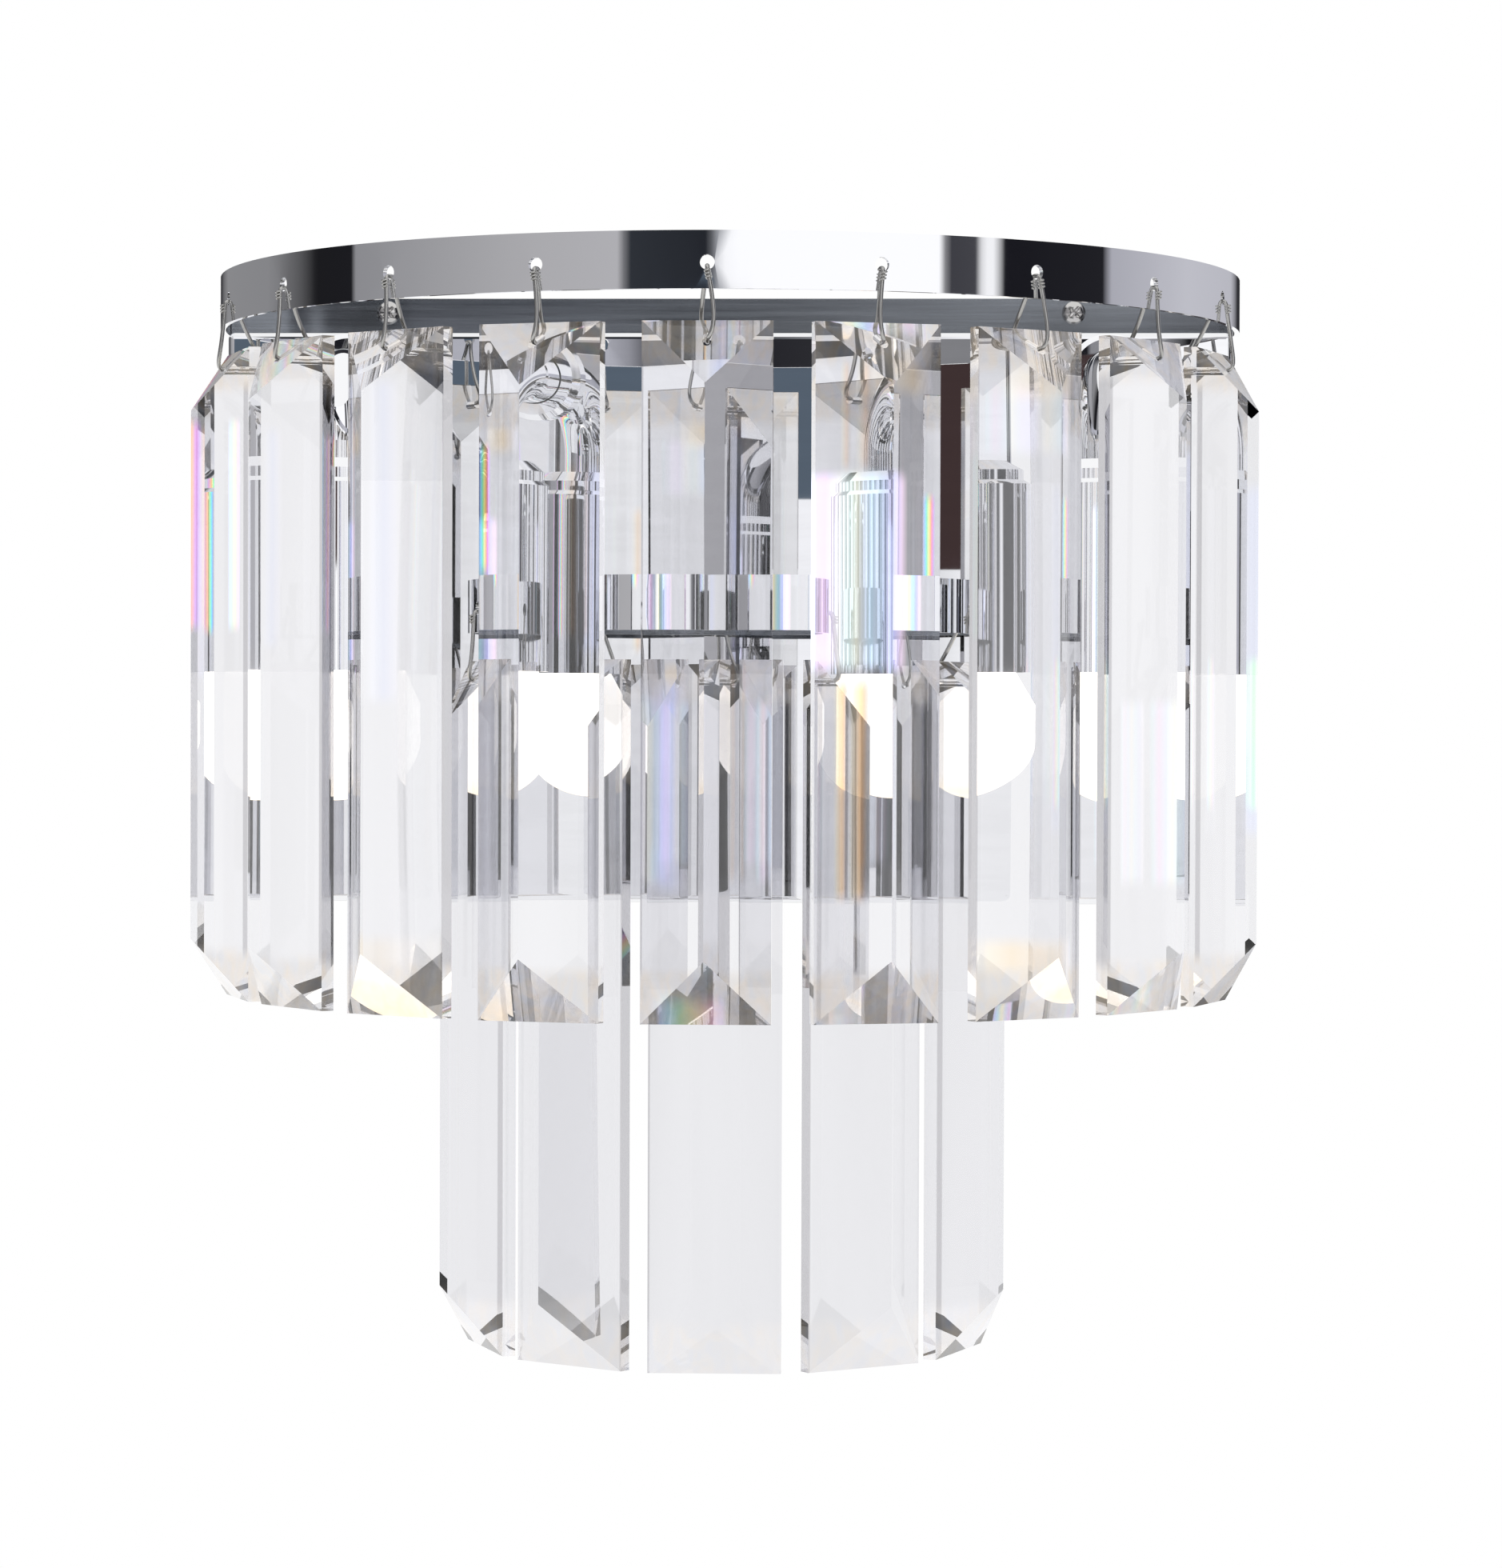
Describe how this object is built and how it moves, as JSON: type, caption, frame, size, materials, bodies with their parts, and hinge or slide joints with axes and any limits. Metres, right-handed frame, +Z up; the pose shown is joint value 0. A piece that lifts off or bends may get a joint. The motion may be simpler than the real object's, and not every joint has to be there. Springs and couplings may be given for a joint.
{
  "type": "wall sconce",
  "caption": "Wall sconce with two tiers of clear crystal prisms hung on wire clips from polished half-ring bands, lit by lamps on bent arms before a mirror-bright back pan.",
  "frame": {"origin": "middle of the two wall slots, on the wall plane", "axes": "+Z up, -Y out of the wall towards the room, +X to the right as seen from the room"},
  "size_m": [0.246, 0.1331, 0.2505],
  "materials": {
    "chrome": "polished",
    "zinc_steel": "satin",
    "wire": "bright drawn",
    "crystal": "polished, clear",
    "bulb_glass": "frosted, lit warm",
    "brass": "satin",
    "terminal_plastic": "matt",
    "socket_plastic": "matt"
  },
  "bodies": {
    "mounting_frame": {"wall_bracket": "zinc_steel", "back_pan": "chrome", "terminal_block": "terminal_plastic", "earth_screw": "brass", "upper_band": "chrome", "lower_band": "chrome", "upper_strip": "chrome", "lower_strip": "chrome", "upper_strip_screws": "chrome", "lower_strip_screws": "chrome", "lamp_arm_left": "chrome", "arm_nut_left": "zinc_steel", "arm_rosette_left": "chrome", "lamp_collar_left": "chrome", "lamp_sleeve_left": "chrome", "lamp_socket_left": "socket_plastic", "lamp_arm_right": "chrome", "arm_nut_right": "zinc_steel", "arm_rosette_right": "chrome", "lamp_collar_right": "chrome", "lamp_sleeve_right": "chrome", "lamp_socket_right": "socket_plastic"},
    "upper_hook_1_body": {"upper_hook_1": "wire"},
    "upper_crystal_1_body": {"upper_crystal_1": "crystal"},
    "upper_hook_2_body": {"upper_hook_2": "wire"},
    "upper_crystal_2_body": {"upper_crystal_2": "crystal"},
    "upper_hook_3_body": {"upper_hook_3": "wire"},
    "upper_crystal_3_body": {"upper_crystal_3": "crystal"},
    "upper_hook_4_body": {"upper_hook_4": "wire"},
    "upper_crystal_4_body": {"upper_crystal_4": "crystal"},
    "upper_hook_5_body": {"upper_hook_5": "wire"},
    "upper_crystal_5_body": {"upper_crystal_5": "crystal"},
    "upper_hook_6_body": {"upper_hook_6": "wire"},
    "upper_crystal_6_body": {"upper_crystal_6": "crystal"},
    "upper_hook_7_body": {"upper_hook_7": "wire"},
    "upper_crystal_7_body": {"upper_crystal_7": "crystal"},
    "upper_hook_8_body": {"upper_hook_8": "wire"},
    "upper_crystal_8_body": {"upper_crystal_8": "crystal"},
    "upper_hook_9_body": {"upper_hook_9": "wire"},
    "upper_crystal_9_body": {"upper_crystal_9": "crystal"},
    "lower_hook_1_body": {"lower_hook_1": "wire"},
    "lower_crystal_1_body": {"lower_crystal_1": "crystal"},
    "lower_hook_2_body": {"lower_hook_2": "wire"},
    "lower_crystal_2_body": {"lower_crystal_2": "crystal"},
    "lower_hook_3_body": {"lower_hook_3": "wire"},
    "lower_crystal_3_body": {"lower_crystal_3": "crystal"},
    "lower_hook_4_body": {"lower_hook_4": "wire"},
    "lower_crystal_4_body": {"lower_crystal_4": "crystal"},
    "lower_hook_5_body": {"lower_hook_5": "wire"},
    "lower_crystal_5_body": {"lower_crystal_5": "crystal"},
    "bulb_left": {"bulb_glass_left": "bulb_glass", "bulb_cap_left": "brass"},
    "bulb_right": {"bulb_glass_right": "bulb_glass", "bulb_cap_right": "brass"}
  },
  "joints": [
    {"name": "upper_swing_1", "type": "hinge", "parent": "mounting_frame", "child": "upper_hook_1_body", "pos_m": [-0.11417, -0.04206, 0.07215], "axis": [0.3223, -0.9466, 0], "range_deg": [-8, 2]},
    {"name": "upper_sway_1", "type": "hinge", "parent": "upper_hook_1_body", "child": "upper_crystal_1_body", "pos_m": [-0.11417, -0.04206, 0.0564], "axis": [-0.9466, -0.3223, 0], "range_deg": [-2, 2]},
    {"name": "upper_swing_2", "type": "hinge", "parent": "mounting_frame", "child": "upper_hook_2_body", "pos_m": [-0.09682, -0.07511, 0.07215], "axis": [0.5962, -0.8028, 0], "range_deg": [-8, 3]},
    {"name": "upper_sway_2", "type": "hinge", "parent": "upper_hook_2_body", "child": "upper_crystal_2_body", "pos_m": [-0.09682, -0.07511, 0.0564], "axis": [-0.8028, -0.5962, 0], "range_deg": [-2, 2]},
    {"name": "upper_swing_3", "type": "hinge", "parent": "mounting_frame", "child": "upper_hook_3_body", "pos_m": [-0.0702, -0.10126, 0.07215], "axis": [0.8131, -0.5821, 0], "range_deg": [-8, 6]},
    {"name": "upper_sway_3", "type": "hinge", "parent": "upper_hook_3_body", "child": "upper_crystal_3_body", "pos_m": [-0.0702, -0.10126, 0.0564], "axis": [-0.5821, -0.8131, 0], "range_deg": [-2, 2]},
    {"name": "upper_swing_4", "type": "hinge", "parent": "mounting_frame", "child": "upper_hook_4_body", "pos_m": [-0.03687, -0.11803, 0.07215], "axis": [0.9521, -0.3057, 0], "range_deg": [-8, 8]},
    {"name": "upper_sway_4", "type": "hinge", "parent": "upper_hook_4_body", "child": "upper_crystal_4_body", "pos_m": [-0.03687, -0.11803, 0.0564], "axis": [-0.3057, -0.9521, 0], "range_deg": [-2, 2]},
    {"name": "upper_swing_5", "type": "hinge", "parent": "mounting_frame", "child": "upper_hook_5_body", "pos_m": [0, -0.1238, 0.07215], "axis": [1, 0, 0], "range_deg": [-8, 8]},
    {"name": "upper_sway_5", "type": "hinge", "parent": "upper_hook_5_body", "child": "upper_crystal_5_body", "pos_m": [0, -0.1238, 0.0564], "axis": [0, -1, 0], "range_deg": [-2, 2]},
    {"name": "upper_swing_6", "type": "hinge", "parent": "mounting_frame", "child": "upper_hook_6_body", "pos_m": [0.03687, -0.11803, 0.07215], "axis": [0.9521, 0.3057, 0], "range_deg": [-8, 8]},
    {"name": "upper_sway_6", "type": "hinge", "parent": "upper_hook_6_body", "child": "upper_crystal_6_body", "pos_m": [0.03687, -0.11803, 0.0564], "axis": [0.3057, -0.9521, 0], "range_deg": [-2, 2]},
    {"name": "upper_swing_7", "type": "hinge", "parent": "mounting_frame", "child": "upper_hook_7_body", "pos_m": [0.0702, -0.10126, 0.07215], "axis": [0.8131, 0.5821, 0], "range_deg": [-8, 6]},
    {"name": "upper_sway_7", "type": "hinge", "parent": "upper_hook_7_body", "child": "upper_crystal_7_body", "pos_m": [0.0702, -0.10126, 0.0564], "axis": [0.5821, -0.8131, 0], "range_deg": [-2, 2]},
    {"name": "upper_swing_8", "type": "hinge", "parent": "mounting_frame", "child": "upper_hook_8_body", "pos_m": [0.09682, -0.07511, 0.07215], "axis": [0.5962, 0.8028, 0], "range_deg": [-8, 3]},
    {"name": "upper_sway_8", "type": "hinge", "parent": "upper_hook_8_body", "child": "upper_crystal_8_body", "pos_m": [0.09682, -0.07511, 0.0564], "axis": [0.8028, -0.5962, 0], "range_deg": [-2, 2]},
    {"name": "upper_swing_9", "type": "hinge", "parent": "mounting_frame", "child": "upper_hook_9_body", "pos_m": [0.11417, -0.04206, 0.07215], "axis": [0.3223, 0.9466, 0], "range_deg": [-8, 2]},
    {"name": "upper_sway_9", "type": "hinge", "parent": "upper_hook_9_body", "child": "upper_crystal_9_body", "pos_m": [0.11417, -0.04206, 0.0564], "axis": [0.9466, -0.3223, 0], "range_deg": [-2, 2]},
    {"name": "lower_swing_1", "type": "hinge", "parent": "mounting_frame", "child": "lower_hook_1_body", "pos_m": [-0.05667, -0.03775, 0.00065], "axis": [0.3584, -0.9336, 0], "range_deg": [-8, 2]},
    {"name": "lower_sway_1", "type": "hinge", "parent": "lower_hook_1_body", "child": "lower_crystal_1_body", "pos_m": [-0.05667, -0.03775, -0.0151], "axis": [-0.9336, -0.3584, 0], "range_deg": [-1, 1]},
    {"name": "lower_swing_2", "type": "hinge", "parent": "mounting_frame", "child": "lower_hook_2_body", "pos_m": [-0.03438, -0.06602, 0.00065], "axis": [0.8241, -0.5664, 0], "range_deg": [-8, 2]},
    {"name": "lower_sway_2", "type": "hinge", "parent": "lower_hook_2_body", "child": "lower_crystal_2_body", "pos_m": [-0.03438, -0.06602, -0.0151], "axis": [-0.5664, -0.8241, 0], "range_deg": [-1, 1]},
    {"name": "lower_swing_3", "type": "hinge", "parent": "mounting_frame", "child": "lower_hook_3_body", "pos_m": [0, -0.0767, 0.00065], "axis": [1, 0, 0], "range_deg": [-8, 2]},
    {"name": "lower_sway_3", "type": "hinge", "parent": "lower_hook_3_body", "child": "lower_crystal_3_body", "pos_m": [0, -0.0767, -0.0151], "axis": [0, -1, 0], "range_deg": [-1, 1]},
    {"name": "lower_swing_4", "type": "hinge", "parent": "mounting_frame", "child": "lower_hook_4_body", "pos_m": [0.03438, -0.06602, 0.00065], "axis": [0.8241, 0.5664, 0], "range_deg": [-8, 2]},
    {"name": "lower_sway_4", "type": "hinge", "parent": "lower_hook_4_body", "child": "lower_crystal_4_body", "pos_m": [0.03438, -0.06602, -0.0151], "axis": [0.5664, -0.8241, 0], "range_deg": [-1, 1]},
    {"name": "lower_swing_5", "type": "hinge", "parent": "mounting_frame", "child": "lower_hook_5_body", "pos_m": [0.05667, -0.03775, 0.00065], "axis": [0.3584, 0.9336, 0], "range_deg": [-8, 2]},
    {"name": "lower_sway_5", "type": "hinge", "parent": "lower_hook_5_body", "child": "lower_crystal_5_body", "pos_m": [0.05667, -0.03775, -0.0151], "axis": [0.9336, -0.3584, 0], "range_deg": [-1, 1]},
    {"name": "bulb_turn_left", "type": "hinge", "parent": "mounting_frame", "child": "bulb_left", "pos_m": [-0.09, -0.04, 0.02], "axis": [0, 0, 1], "continuous": true},
    {"name": "bulb_turn_right", "type": "hinge", "parent": "mounting_frame", "child": "bulb_right", "pos_m": [0.09, -0.04, 0.02], "axis": [0, 0, 1], "continuous": true}
  ]
}
